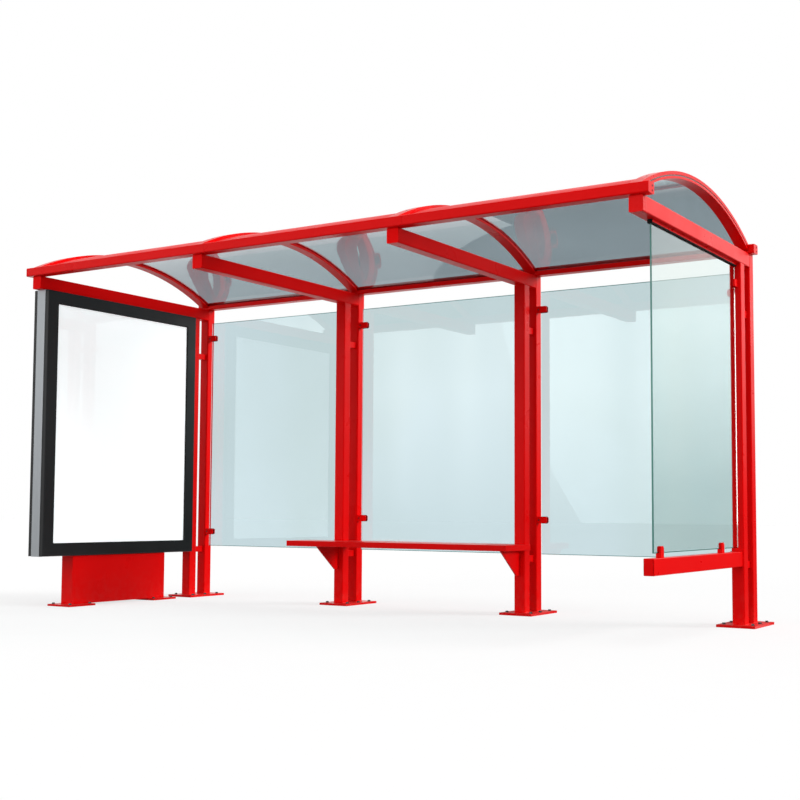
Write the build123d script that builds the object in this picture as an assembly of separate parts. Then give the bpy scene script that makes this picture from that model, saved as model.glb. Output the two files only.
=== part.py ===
from build123d import *
import os

os.makedirs("parts", exist_ok=True)

# Bus shelter, open to the front. X runs along the shelter, +Y to the back, +Z up.
# The origin is on the ground, at the middle of the plan.

# ---- overall layout
BAY = 1500.0            # post to post along X
POSTS = 4
PLAN_DEPTH = 1966.0     # front face of the front beam to the back edge of the base plates
ARM_UNDER = 2250.0      # clear height under the roof arms
ARCH_RISE = 212.0       # top of the rib caps above the beams
CLEAR = 0.3             # assembly gap between pieces that are not welded

# ---- posts: two square tubes, one behind the other, on one base plate
TUBE = 80.0
TUBE_WALL = 4.0
TUBE_GAP = 100.0
PLATE_W = 240.0
PLATE_L = 400.0
PLATE_T = 16.0
PLATE_BACK = 75.0       # plate behind the rear tube
ANCHOR_R = 9.0
ANCHOR_EDGE = 30.0      # holes inside the long edges of the plate
ANCHOR_ENDS = 57.0      # and inside its front and back edges
SPACER_W = 40.0
SPACER_H = 45.0
SPACER_LOW = 355.0
SPACER_HIGH = 1925.0

# ---- roof frame
ARM_W = 80.0
ARM_H = 90.0
BEAM_W = 80.0
BEAM_H = 60.0
BEAM_WALL = 4.0
BEAM_NOSE = 27.0        # front beam ahead of the arm tips
FRONT_OVER = 80.0       # front beam beyond the end post centres
REAR_OVER = 70.0
END_CAP_T = 3.0
SEAM_AT = 80.0          # weld seam of the front beam, beyond the centre of each post but the last
SEAM_W = 2.0
SEAM_D = 1.2
RIB_W = 70.0
RIB_H = 14.0
CAP_H = 20.0
SHEET_T = 6.0
SHEET_JOINT = 8.0       # open joint between two sheets over a rib
SHEET_EDGE = 2.0        # end sheets stop short of the outer side of the end ribs
FLASH_T = 2.0
FLASH_RUN = 330.0       # how far the front flashing reaches over the sheet
FRONT_FOOT = 16.0       # front of the beam to the foot of the cap

# ---- rear glazing: each pane is held between two posts by four slotted clamps
REAR_GLASS_T = 8.0
REAR_GLASS_LOW = 405.0
REAR_GLASS_TOP = 2225.0
PANE_GAP = 30.0         # pane edge to tube
CLAMP_L = 75.0
CLAMP_H = 45.0
CLAMP_D = 34.0
CLAMP_SET = 5.0         # front of the clamp behind the front of the rear tube
CLAMP_CUT = 7.0         # cut corners at the free end
CLAMP_HIGH = 2100.0
CLAMP_LOW = ((520.0, 520.0), (640.0, 640.0), (640.0, 432.0))    # left and right end of each pane

# ---- side glazing under the last arm
SIDE_GLASS_T = 10.0
SIDE_GLASS_LOW = 485.0
SIDE_GLASS_FRONT = 230.0   # glass edge behind the front of the beam
SIDE_GLASS_BACK = 10.0     # glass edge ahead of the post
CHANNEL_W = 26.0
CHANNEL_H = 20.0
CHANNEL_WEB = 3.0
POST_CLAMP_W = 40.0
POST_CLAMP_L = 58.0
POST_CLAMP_Z = 2120.0
POST_CLAMP_CUT = 5.0

# ---- lower side rail
RAIL_W = 60.0
RAIL_H = 90.0
RAIL_TOP = 460.0
RAIL_TIP = 161.0        # rail tip behind the front of the beam
RAIL_TIP_R = 12.0
RAIL_EDGE = 2.5
RAIL_WALL = 3.0
SHOE_L = 46.0
SHOE_H = 62.0
SHOE_W = 28.0
SHOE_R = 18.0
SHOE_FRONT = 97.0       # shoe centre behind the front edge of the glass
SHOE_BACK = 316.0       # shoe centre ahead of the post

# ---- bench
SEAT_TOP = 475.0
SEAT_T = 40.0
SEAT_D = 285.0          # seat ahead of the tubes
SEAT_LEFT = 264.0       # seat beyond the centre of the second post
SEAT_WRAP = 6.0         # seat beyond the outer side of the third post
SEAT_BEHIND = 75.0      # seat behind the front face of the tubes
SEAT_WALL = 3.0
SEAT_EDGE_R = 4.0
BRACKET_T = 10.0
BRACKET_H = 170.0
BRACKET_TOE = 50.0
BRACKET_TIP = 12.0      # bracket behind the front edge of the seat

# ---- display case under the first arm
CASE_L = 1555.0
CASE_LOW = 360.0
CASE_T = 150.0
CASE_BACK = 4.0         # case ahead of the post
BODY_T = 80.0
BODY_WALL = 6.0
DOOR_INSET = 2.0        # door edge inside the edge of the body
DOOR_SIDE = 97.0
DOOR_ENDS = 90.0
DOOR_LIP = 12.0         # pane behind the face of the door
DOOR_EDGE_R = 8.0
PANE_LAP = 12.0
PANE_T = 4.0
POSTER_T = 2.0
PEDESTAL_L = 950.0
PEDESTAL_W = 110.0
PEDESTAL_WALL = 3.0
FOOT_W = 225.0
FOOT_L = 250.0
FOOT_T = 14.0
FOOT_OVER = 75.0
FOOT_HOLES_X = 170.0
FOOT_HOLES_Y = 190.0

# ---- derived levels and lines
Y_FRONT = -PLAN_DEPTH / 2
Y_BACK = PLAN_DEPTH / 2
REAR_TUBE_Y = Y_BACK - PLATE_BACK - TUBE / 2
FRONT_TUBE_Y = REAR_TUBE_Y - TUBE - TUBE_GAP
TUBE_FACE = FRONT_TUBE_Y - TUBE / 2
REAR_FACE = REAR_TUBE_Y - TUBE / 2
PLATE_Y = Y_BACK - PLATE_L / 2
ARM_TOP = ARM_UNDER + ARM_H
ARM_TIP = Y_FRONT + BEAM_NOSE
BEAM_TOP = ARM_TOP + BEAM_H
BEAM_INNER = Y_FRONT + BEAM_W
BEAM_REAR = REAR_TUBE_Y - BEAM_W / 2
ARCH_FRONT = Y_FRONT + FRONT_FOOT
POST_X = [(i - (POSTS - 1) / 2) * BAY for i in range(POSTS)]

# The outside of the arch is one circle. It springs from the top of the front beam at
# ARCH_FRONT, and from the top front edge of the rear beam.
HALF_SPAN = (BEAM_REAR - ARCH_FRONT) / 2
CROWN = BEAM_TOP + ARCH_RISE
ARCH_R = (HALF_SPAN**2 + ARCH_RISE**2) / (2 * ARCH_RISE)
ARCH_Y = ARCH_FRONT + HALF_SPAN
ARCH_Z = CROWN - ARCH_R
CAP_IN = ARCH_R - CAP_H
SHEET_OUT = CAP_IN - CLEAR
SHEET_IN = SHEET_OUT - SHEET_T
RIB_OUT = SHEET_IN - CLEAR
RIB_IN = RIB_OUT - RIB_H


def save(name, *solids):
    shape = solids[0] if len(solids) == 1 else Compound(children=list(solids))
    shape.label = name
    export_step(shape, f"parts/{name}.step")


def block(x0, x1, y0, y1, z0, z1):
    return Pos((x0 + x1) / 2, (y0 + y1) / 2, (z0 + z1) / 2) * Box(x1 - x0, y1 - y0, z1 - z0)


def section(width, depth, wall):
    """Outer shape of a drawn square tube: its corners are rounded by twice the wall."""
    return RectangleRounded(width, depth, 2 * wall)


def tube(width, depth, length, wall):
    """Square tube along Z, its lower end at the origin."""
    bore = Rectangle(width - 2 * wall, depth - 2 * wall)
    return extrude(section(width, depth, wall) - bore, length)


def along_x(depth, height, length, wall):
    """The same tube laid along +X, its near end at the origin, centred on its section."""
    return Rot(0, 90, 0) * tube(height, depth, length, wall)


def along_y(width, height, length, wall):
    return Rot(-90, 0, 0) * tube(width, height, length, wall)


def arc_band(r_in, r_out, x0, x1, y0, y1, z0):
    """A curved band of the arch between two radii, cut to the given limits."""
    ring = Pos(x0, ARCH_Y, ARCH_Z) * extrude(Plane.YZ * (Circle(r_out) - Circle(r_in)), x1 - x0)
    return ring & block(x0, x1, y0, y1, z0, CROWN + 1)


# ---- posts
for i, px in enumerate(POST_X):
    front = Pos(px, FRONT_TUBE_Y, PLATE_T) * tube(TUBE, TUBE, ARM_UNDER - PLATE_T, TUBE_WALL)
    rear = Pos(px, REAR_TUBE_Y, PLATE_T) * tube(TUBE, TUBE, ARM_TOP - PLATE_T, TUBE_WALL)
    save(f"post_{i + 1}", front, rear)

spacers = [block(px - SPACER_W / 2, px + SPACER_W / 2, REAR_FACE - TUBE_GAP, REAR_FACE, z, z + SPACER_H)
           for px in POST_X for z in (SPACER_LOW, SPACER_HIGH)]
save("post_spacers", *spacers)

plate = Rectangle(PLATE_W, PLATE_L)
plate -= GridLocations(PLATE_W - 2 * ANCHOR_EDGE, PLATE_L / 2 - ANCHOR_ENDS, 2, 3) * Circle(ANCHOR_R)
save("post_base_plates", *[Pos(px, PLATE_Y, 0) * extrude(plate, PLATE_T) for px in POST_X])

# ---- roof arms: each tip is closed by a plate let into the tube
for i, px in enumerate(POST_X):
    arm = Pos(px, ARM_TIP, ARM_UNDER + ARM_H / 2) * along_y(ARM_W, ARM_H, REAR_FACE - ARM_TIP, TUBE_WALL)
    half = ARM_W / 2 - TUBE_WALL
    arm += block(px - half, px + half, ARM_TIP, ARM_TIP + END_CAP_T,
                 ARM_UNDER + TUBE_WALL, ARM_TOP - TUBE_WALL)
    save(f"roof_arm_{i + 1}", arm)

# ---- front and rear beams, closed by end caps
front_len = BAY * (POSTS - 1) + 2 * FRONT_OVER
rear_len = BAY * (POSTS - 1) + 2 * REAR_OVER
front_y = Y_FRONT + BEAM_W / 2
beam_z = ARM_TOP + BEAM_H / 2
end_cap = Rot(0, 90, 0) * extrude(section(BEAM_H, BEAM_W, BEAM_WALL), END_CAP_T)
caps = []
beams = []
for length, y in ((front_len, front_y), (rear_len, REAR_TUBE_Y)):
    run = length - 2 * END_CAP_T
    beams.append(Pos(-run / 2, y, beam_z) * along_x(BEAM_W, BEAM_H, run, BEAM_WALL))
    caps.append(Pos(-length / 2, y, beam_z) * end_cap)
    caps.append(Pos(run / 2, y, beam_z) * end_cap)
seam = Box(SEAM_W, BEAM_W + 1, BEAM_H + 1) - Box(SEAM_W, BEAM_W - 2 * SEAM_D, BEAM_H - 2 * SEAM_D)
for px in POST_X[:-1]:
    beams[0] -= Pos(px + SEAM_AT, front_y, beam_z) * seam
save("front_beam", beams[0])
save("rear_beam", beams[1])
save("beam_end_caps", *caps)

# ---- arched roof: ribs between the beams, sheets laid over them, and caps that clamp the sheets
for i, px in enumerate(POST_X):
    x0 = px - RIB_W / 2
    x1 = px + RIB_W / 2
    save(f"rib_{i + 1}", arc_band(RIB_IN, RIB_OUT, x0, x1, BEAM_INNER, BEAM_REAR, ARM_TOP))
    over_beam = arc_band(CAP_IN, ARCH_R, x0, x1, ARCH_FRONT, ARCH_Y, BEAM_TOP)
    to_rear = arc_band(CAP_IN, ARCH_R, x0, x1, BEAM_INNER, BEAM_REAR, ARM_TOP)
    save(f"rib_cap_{i + 1}", over_beam + to_rear)

for i in range(POSTS - 1):
    x0 = POST_X[i] + (SHEET_JOINT / 2 if i else SHEET_EDGE - RIB_W / 2)
    x1 = POST_X[i + 1] - (SHEET_JOINT / 2 if i < POSTS - 2 else SHEET_EDGE - RIB_W / 2)
    sheet = arc_band(SHEET_IN, SHEET_OUT, x0, x1, BEAM_INNER + CLEAR, BEAM_REAR - CLEAR, ARM_TOP)
    over_flange = arc_band(SHEET_IN, SHEET_OUT, x0, x1, ARCH_FRONT, ARCH_Y, BEAM_TOP + FLASH_T + CLEAR)
    save(f"roof_sheet_{i + 1}", sheet + over_flange)
    x0 = POST_X[i] + RIB_W / 2 + CLEAR
    x1 = POST_X[i + 1] - RIB_W / 2 - CLEAR
    flash_in = SHEET_OUT + CLEAR
    skin = arc_band(flash_in, flash_in + FLASH_T, x0, x1, ARCH_FRONT, BEAM_INNER + FLASH_RUN, BEAM_TOP)
    flange = block(x0, x1, ARCH_FRONT, BEAM_INNER - FLASH_T, BEAM_TOP, BEAM_TOP + FLASH_T)
    save(f"front_flashing_{i + 1}", skin + flange)

# ---- rear glass and its clamps
glass_y = REAR_FACE + CLAMP_SET + CLAMP_D / 2
clamp = Box(CLAMP_L, CLAMP_D, CLAMP_H, align=(Align.MIN, Align.CENTER, Align.CENTER))
clamp = chamfer(clamp.edges().filter_by(Axis.Y).group_by(Axis.X)[-1], CLAMP_CUT)
clamp -= Pos(PANE_GAP - CLEAR, 0, 0) * Box(CLAMP_L, REAR_GLASS_T + 2 * CLEAR, 2 * CLAMP_H,
                                           align=(Align.MIN, Align.CENTER, Align.CENTER))
clamps = []
for i in range(POSTS - 1):
    x0 = POST_X[i] + TUBE / 2
    x1 = POST_X[i + 1] - TUBE / 2
    save(f"rear_glass_{i + 1}", block(x0 + PANE_GAP, x1 - PANE_GAP, glass_y - REAR_GLASS_T / 2,
                                      glass_y + REAR_GLASS_T / 2, REAR_GLASS_LOW, REAR_GLASS_TOP))
    for left, right in (CLAMP_LOW[i], (CLAMP_HIGH, CLAMP_HIGH)):
        clamps.append(Pos(x0, glass_y, left) * clamp)
        clamps.append(Pos(x1, glass_y, right) * Rot(0, 0, 180) * clamp)
save("rear_glass_clamps", *clamps)

# ---- side glass with its top channel and its clamp on the post
end_x = POST_X[-1]
glass_y0 = Y_FRONT + SIDE_GLASS_FRONT
glass_y1 = TUBE_FACE - SIDE_GLASS_BACK
slot = SIDE_GLASS_T / 2 + CLEAR
save("side_glass", block(end_x - SIDE_GLASS_T / 2, end_x + SIDE_GLASS_T / 2, glass_y0, glass_y1,
                         SIDE_GLASS_LOW, ARM_UNDER - CHANNEL_WEB - CLEAR))
channel = block(end_x - CHANNEL_W / 2, end_x + CHANNEL_W / 2, glass_y0 - SIDE_GLASS_BACK, TUBE_FACE - 1,
                ARM_UNDER - CHANNEL_H, ARM_UNDER)
channel -= block(end_x - slot, end_x + slot, glass_y0 - CLEAR, glass_y1 + CLEAR,
                 ARM_UNDER - CHANNEL_H - 1, ARM_UNDER - CHANNEL_WEB)
save("side_glass_channel", channel)

grip = Box(POST_CLAMP_W, POST_CLAMP_L, CLAMP_H, align=(Align.CENTER, Align.MAX, Align.CENTER))
grip = chamfer(grip.edges().filter_by(Axis.Z).group_by(Axis.Y)[0], POST_CLAMP_CUT)
grip -= Pos(0, CLEAR - SIDE_GLASS_BACK, 0) * Box(2 * slot, POST_CLAMP_L, 2 * CLAMP_H,
                                                 align=(Align.CENTER, Align.MAX, Align.CENTER))
save("side_glass_clamp", Pos(end_x, TUBE_FACE, POST_CLAMP_Z) * grip)

# ---- lower side rail and the shoes that carry the side glass
rail_y0 = Y_FRONT + RAIL_TIP
rail_len = TUBE_FACE - rail_y0
rail = Box(RAIL_W, rail_len, RAIL_H)
rail = fillet(rail.edges().filter_by(Axis.Z).group_by(Axis.Y)[0], RAIL_TIP_R)
rail = chamfer(rail.edges().filter_by(Axis.Y), RAIL_EDGE)
rail -= Pos(0, RAIL_WALL, 0) * Box(RAIL_W - 2 * RAIL_WALL, rail_len, RAIL_H - 2 * RAIL_WALL)
save("side_rail", Pos(end_x, rail_y0 + rail_len / 2, RAIL_TOP - RAIL_H / 2) * rail)

profile = Rectangle(SHOE_L, SHOE_H)
profile = fillet(profile.vertices().group_by(Axis.Y)[-1], SHOE_R)
shoe = Pos(-SHOE_W / 2, 0, SHOE_H / 2) * extrude(Plane.YZ * profile, SHOE_W)
shoe -= block(-slot, slot, -SHOE_L, SHOE_L, SIDE_GLASS_LOW - CLEAR - RAIL_TOP, SHOE_H + 1)
save("side_glass_shoes", *[Pos(end_x, y, RAIL_TOP) * shoe
                           for y in (glass_y0 + SHOE_FRONT, TUBE_FACE - SHOE_BACK)])

# ---- bench: a folded seat that runs between the posts and round the third one, on two brackets
seat_x0 = POST_X[1] - SEAT_LEFT
seat_x1 = POST_X[2] + TUBE / 2 + SEAT_WRAP
seat_y0 = TUBE_FACE - SEAT_D
seat_low = SEAT_TOP - SEAT_T
seat = block(seat_x0, seat_x1, seat_y0, TUBE_FACE + SEAT_BEHIND, seat_low, SEAT_TOP)
seat -= block(seat_x0 - 1, POST_X[1] + TUBE / 2 + CLEAR, TUBE_FACE - CLEAR, REAR_FACE, 0, ARM_UNDER)
seat -= block(POST_X[2] - TUBE / 2 - CLEAR, POST_X[2] + TUBE / 2 + CLEAR, TUBE_FACE - CLEAR, REAR_FACE,
              0, ARM_UNDER)
seat = fillet(seat.edges().filter_by(Axis.X).group_by(Axis.Y)[0], SEAT_EDGE_R)
inside = (seat_low + SEAT_WALL, SEAT_TOP - SEAT_WALL)
seat -= block(seat_x0 + SEAT_WALL, seat_x1 - SEAT_WALL, seat_y0 + SEAT_WALL, TUBE_FACE - SEAT_WALL, *inside)
seat -= block(POST_X[1] + TUBE / 2 + 2 * SEAT_WALL, POST_X[2] - TUBE / 2 - 2 * SEAT_WALL,
              TUBE_FACE - SEAT_D / 2, TUBE_FACE + SEAT_BEHIND - SEAT_WALL, *inside)
save("bench_seat", seat)

outline = Polyline((seat_y0 + BRACKET_TIP, seat_low), (TUBE_FACE, seat_low),
                   (TUBE_FACE, seat_low - BRACKET_H),
                   (TUBE_FACE - BRACKET_TOE, seat_low - BRACKET_H), close=True)
bracket = Pos(-BRACKET_T / 2, 0, 0) * extrude(Plane.YZ * make_face(outline), BRACKET_T)
save("bench_brackets", *[Pos(px, 0, 0) * bracket for px in (POST_X[1], POST_X[2])])

# ---- display case: a tubular body with a framed door on each side, on a pedestal
case_x = POST_X[0]
case_y1 = TUBE_FACE - CASE_BACK
case_y0 = case_y1 - CASE_L
case_y = (case_y0 + case_y1) / 2
case_top = ARM_UNDER - CLEAR


def panel(x0, x1, side, ends):
    """A plate in the plane of the case, its edges inside those of the case by side and ends."""
    return block(x0, x1, case_y0 + side, case_y1 - side, CASE_LOW + ends, case_top - ends)


body = panel(-BODY_T / 2, BODY_T / 2, 0, 0) - panel(-BODY_T, BODY_T, BODY_WALL, BODY_WALL)
save("case_body", Pos(case_x, 0, 0) * body)

lip = CASE_T / 2 - DOOR_LIP
rebate = (DOOR_SIDE - PANE_LAP, DOOR_ENDS - PANE_LAP)
door = panel(BODY_T / 2, CASE_T / 2, DOOR_INSET, DOOR_INSET)
door = fillet(door.faces().sort_by(Axis.X)[-1].edges(), DOOR_EDGE_R)
door -= panel(0, CASE_T, DOOR_SIDE, DOOR_ENDS)
door -= panel(0, lip, *rebate)
pane_edge = (rebate[0] + CLEAR, rebate[1] + CLEAR)
pane = panel(lip - PANE_T, lip, *pane_edge)
poster = panel(lip - PANE_T - POSTER_T, lip - PANE_T, *pane_edge)
save("case_door_inner", Pos(case_x, 0, 0) * door)
save("case_door_outer", Pos(case_x, 0, 0) * mirror(door, about=Plane.YZ))
save("case_panes", *[Pos(case_x, 0, 0) * p for p in (pane, mirror(pane, about=Plane.YZ))])
save("case_posters", *[Pos(case_x, 0, 0) * p for p in (poster, mirror(poster, about=Plane.YZ))])

pedestal = Box(PEDESTAL_W, PEDESTAL_L, CASE_LOW - FOOT_T)
pedestal -= Box(PEDESTAL_W - 2 * PEDESTAL_WALL, PEDESTAL_L - 2 * PEDESTAL_WALL,
                CASE_LOW - FOOT_T - 2 * PEDESTAL_WALL)
save("case_pedestal", Pos(case_x, case_y, (CASE_LOW + FOOT_T) / 2) * pedestal)

foot = Rectangle(FOOT_W, FOOT_L) - GridLocations(FOOT_HOLES_X, FOOT_HOLES_Y, 2, 2) * Circle(ANCHOR_R)
foot_y = PEDESTAL_L / 2 + FOOT_OVER - FOOT_L / 2
save("case_feet", *[Pos(case_x, case_y + way * foot_y, 0) * extrude(foot, FOOT_T) for way in (-1, 1)])
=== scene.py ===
import math
import bmesh
import bpy
from mathutils import Matrix, Vector


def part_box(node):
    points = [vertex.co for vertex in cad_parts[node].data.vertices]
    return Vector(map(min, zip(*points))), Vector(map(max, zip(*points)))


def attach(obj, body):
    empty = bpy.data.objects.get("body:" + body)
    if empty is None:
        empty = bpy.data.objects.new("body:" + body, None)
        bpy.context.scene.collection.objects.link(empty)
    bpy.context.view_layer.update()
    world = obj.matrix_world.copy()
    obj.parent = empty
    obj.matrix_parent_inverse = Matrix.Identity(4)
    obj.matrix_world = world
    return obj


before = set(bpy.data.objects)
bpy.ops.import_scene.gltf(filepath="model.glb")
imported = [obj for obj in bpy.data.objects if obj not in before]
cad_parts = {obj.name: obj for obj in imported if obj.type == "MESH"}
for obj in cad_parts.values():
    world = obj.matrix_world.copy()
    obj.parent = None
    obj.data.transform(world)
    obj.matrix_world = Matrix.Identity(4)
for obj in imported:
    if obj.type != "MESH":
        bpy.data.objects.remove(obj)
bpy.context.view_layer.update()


# ---- Base plates
# Four laser-cut steel plates, one under each pair of post tubes, powder coated red with the
# rest of the steelwork. Each is held down by six low hexagon-head anchor screws.
RED_PAINT = (0.800, 0.0018, 0.0022)
RED_PAINT_DEEP = (0.735, 0.0015, 0.0018)
RED_PAINT_FADED = (0.830, 0.0100, 0.0110)
PAINT_SPECULAR = 0.14
PAINT_SPECULAR_TINT = (1.0, 0.20, 0.20, 1.0)
PAINT_ROUGHNESS = (0.26, 0.36)
PAINT_ROUNDING = 0.0025         # radius of a coated edge
PAINT_PEEL_DEPTH = 0.0004
STREET_DUST = (0.34, 0.27, 0.23)
SPLASH_TOP = 0.30               # rain splashes reach this high
EDGE_FLAT = 0.995               # how well soft and true normals agree off an edge, and on it
EDGE_SHARP = 0.80
MOTTLE = 1.6                    # patterns in the coat, in patches per metre
RUBBING = 38.0
DUSTING = 9.0
SPLASHING = 26.0
SHEEN = 5.0
PEEL = 420.0
ZINC = (0.125, 0.120, 0.120)
ZINC_CRYSTALS = 260.0
ZINC_CRYSTAL_DEPTH = 0.0003
ZINC_ROUNDING = 0.0008
ZINC_ROUGHNESS = (0.34, 0.52)
ANCHOR_SIDES = 0.030            # anchor in from the plate's side and end
ANCHOR_ENDS = 0.057
ANCHOR_HEAD = 0.018             # across flats
ANCHOR_HEAD_RISE = 0.0075
ANCHOR_HEAD_CHAMFER = 0.0012
ANCHOR_WASHER = 0.0125          # radius
ANCHOR_WASHER_BORE = 0.0062
ANCHOR_WASHER_RISE = 0.0025
ANCHOR_WASHER_CHAMFER = 0.0004
ANCHOR_SHANK = 0.006            # radius
ANCHOR_SHANK_DOWN = 0.010
ANCHOR_SHANK_UP = 0.001
ANCHOR_TURNS = (0.7, 1.9, 0.5)  # how far the heads turn from post to post, side and row
CREASE_ANGLE = 35.0             # sharper edges than this stay crisp
SAME_PLACE = 1e-6


def add(tree, kind, inputs=None, **settings):
    """Adds a node to a finish. Each input is a plain value or another node's output."""
    made = tree.nodes.new(kind)
    for name, value in settings.items():
        setattr(made, name, value)
    for name, value in (inputs or {}).items():
        if isinstance(value, bpy.types.NodeSocket):
            tree.links.new(value, made.inputs[name])
        else:
            made.inputs[name].default_value = value
    return made


def cloud(tree, scale, detail=2.0, stretch=None):
    """A noise pattern fixed to the piece, its scale in patches per metre."""
    where = add(tree, "ShaderNodeTexCoord").outputs["Object"]
    if stretch:
        where = add(tree, "ShaderNodeMapping", {"Vector": where, "Scale": stretch}).outputs[0]
    pattern = {"Vector": where, "Scale": scale, "Detail": detail}
    return add(tree, "ShaderNodeTexNoise", pattern).outputs[0]


def ramp(tree, value, low, high, to_low=0.0, to_high=1.0):
    """A value between low and high, spread over to_low to to_high."""
    limits = {"From Min": low, "From Max": high, "To Min": to_low, "To Max": to_high}
    return add(tree, "ShaderNodeMapRange", {"Value": value, **limits}).outputs[0]


def maths(tree, operation, a, b=None):
    inputs = {0: a} if b is None else {0: a, 1: b}
    return add(tree, "ShaderNodeMath", inputs, operation=operation).outputs[0]


def times(tree, a, b):
    return maths(tree, "MULTIPLY", a, b)


def tint(tree, share, a, b):
    """Colour a turning to colour b by share."""
    ends = {0: share}
    for slot, colour in ((6, a), (7, b)):
        ends[slot] = colour if isinstance(colour, bpy.types.NodeSocket) else (*colour, 1.0)
    return add(tree, "ShaderNodeMix", ends, data_type="RGBA").outputs[2]


def mottled(tree, pattern, a, b, low=0.35, high=0.65):
    """A colour that drifts from a to b with a pattern."""
    return tint(tree, ramp(tree, pattern, low, high), a, b)


def shaded(colour, share):
    return [share * c for c in colour]


def edge_of(tree, radius):
    """The softened edge of a piece: its normal, and how near an edge a point lies."""
    soft = add(tree, "ShaderNodeBevel", {"Radius": radius}, samples=4).outputs[0]
    flat = add(tree, "ShaderNodeNewGeometry").outputs["Normal"]
    along = add(tree, "ShaderNodeVectorMath", {0: soft, 1: flat}, operation="DOT_PRODUCT")
    return soft, ramp(tree, along.outputs["Value"], EDGE_FLAT, EDGE_SHARP)


def place_along(tree, axis):
    """Where a point lies along an axis, in metres."""
    where = add(tree, "ShaderNodeTexCoord").outputs["Object"]
    return add(tree, "ShaderNodeSeparateXYZ", {0: where}).outputs[axis]


def facing(tree, axis):
    """How squarely the surface looks along an axis."""
    normal = add(tree, "ShaderNodeNewGeometry").outputs["Normal"]
    return add(tree, "ShaderNodeSeparateXYZ", {0: normal}).outputs[axis]


def level_top(tree):
    """1 where the surface lies level and looks up, 0 where it slopes."""
    return ramp(tree, facing(tree, "Z"), 0.75, 1.0)


def bumps(tree, pattern, depth, strength, normal=None):
    """A normal that follows the hills of a pattern, depth metres deep."""
    inputs = {"Height": pattern, "Distance": depth, "Strength": strength}
    if normal is not None:
        inputs["Normal"] = normal
    return add(tree, "ShaderNodeBump", inputs).outputs[0]


def uneven(tree, pattern, least, most):
    """A roughness that wanders from least to most with a pattern."""
    return ramp(tree, pattern, 0.3, 0.7, least, most)


def surface(tree, colour, roughness, normal, more=None):
    """The shader that the patterns of a finish lead to."""
    inputs = {"Base Color": colour, "Roughness": roughness, "Normal": normal, **(more or {})}
    return add(tree, "ShaderNodeBsdfPrincipled", inputs).outputs[0]


def new_finish(name):
    material = bpy.data.materials.new(name)
    material.use_nodes = True
    material.node_tree.nodes.clear()
    return material, material.node_tree


def close_finish(tree, shader):
    add(tree, "ShaderNodeOutputMaterial", {"Surface": shader})


def powder_coat(name, colour=RED_PAINT, deep=RED_PAINT_DEEP, wear=0.30, dust=0.04, splash=0.0,
                specular=PAINT_SPECULAR):
    """Gloss powder coat: slight mottling, fine orange peel, rubbed edges, dust on top."""
    material, tree = new_finish(name)
    soft, edge = edge_of(tree, PAINT_ROUNDING)
    paint = mottled(tree, cloud(tree, MOTTLE, detail=3.0), deep, colour)
    rubbed = ramp(tree, cloud(tree, RUBBING, detail=4.0), 0.48, 0.70, 0.0, wear)
    paint = tint(tree, times(tree, edge, rubbed), paint, RED_PAINT_FADED)
    dusty = ramp(tree, cloud(tree, DUSTING, detail=5.0), 0.3, 0.7, 0.2, 1.0)
    settled = times(tree, level_top(tree), dusty)
    paint = tint(tree, times(tree, settled, dust), paint, STREET_DUST)
    if splash:
        low = ramp(tree, place_along(tree, "Z"), SPLASH_TOP, 0.0)
        spots = times(tree, low, ramp(tree, cloud(tree, SPLASHING, detail=6.0), 0.42, 0.68))
        paint = tint(tree, times(tree, spots, splash), paint, STREET_DUST)
    gloss = uneven(tree, cloud(tree, SHEEN, detail=4.0), *PAINT_ROUGHNESS)
    peel = bumps(tree, cloud(tree, PEEL, detail=1.0), PAINT_PEEL_DEPTH, strength=0.10, normal=soft)
    sheen = {"Specular IOR Level": specular, "Specular Tint": PAINT_SPECULAR_TINT}
    close_finish(tree, surface(tree, paint, gloss, peel, sheen))
    return material


def zinc_plate(name, colour=ZINC):
    """Dull zinc on bolts and washers: grey crystals, a soft sheen, darker in patches."""
    material, tree = new_finish(name)
    soft, edge = edge_of(tree, ZINC_ROUNDING)
    grain = cloud(tree, ZINC_CRYSTALS, detail=3.0)
    grey = mottled(tree, grain, shaded(colour, 0.72), colour)
    grey = tint(tree, times(tree, edge, 0.35), grey, shaded(colour, 2.2))
    gloss = uneven(tree, grain, *ZINC_ROUGHNESS)
    rough = bumps(tree, grain, ZINC_CRYSTAL_DEPTH, strength=0.12, normal=soft)
    close_finish(tree, surface(tree, grey, gloss, rough, {"Metallic": 1.0}))
    return material


def coat(nodes, material):
    """Gives CAD nodes their finish."""
    for name in nodes:
        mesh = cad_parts[name].data
        mesh.materials.clear()
        mesh.materials.append(material)


def turned(bm, outline, steps=24, closed=False):
    """Turns an outline of (radius, height) points round Z into a solid."""
    points = [bm.verts.new((radius, 0.0, z)) for radius, z in outline]
    pairs = list(zip(points, points[1:])) + ([(points[-1], points[0])] if closed else [])
    edges = [bm.edges.new(pair) for pair in pairs]
    bmesh.ops.spin(bm, geom=points + edges, axis=(0, 0, 1), cent=(0, 0, 0), angle=2 * math.pi,
                   steps=steps, use_merge=True)
    bmesh.ops.remove_doubles(bm, verts=bm.verts, dist=SAME_PLACE)
    bmesh.ops.recalc_face_normals(bm, faces=bm.faces)


def edges_at(corners):
    """The edges that meet at some corners, each once."""
    return list(dict.fromkeys(e for v in corners for e in v.link_edges))


def softened(bm, edges, cut, segments):
    """Rounds edges by cut."""
    bmesh.ops.bevel(bm, geom=edges, offset=cut, segments=segments, profile=0.5, material=-1,
                    affect="EDGES")


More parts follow.
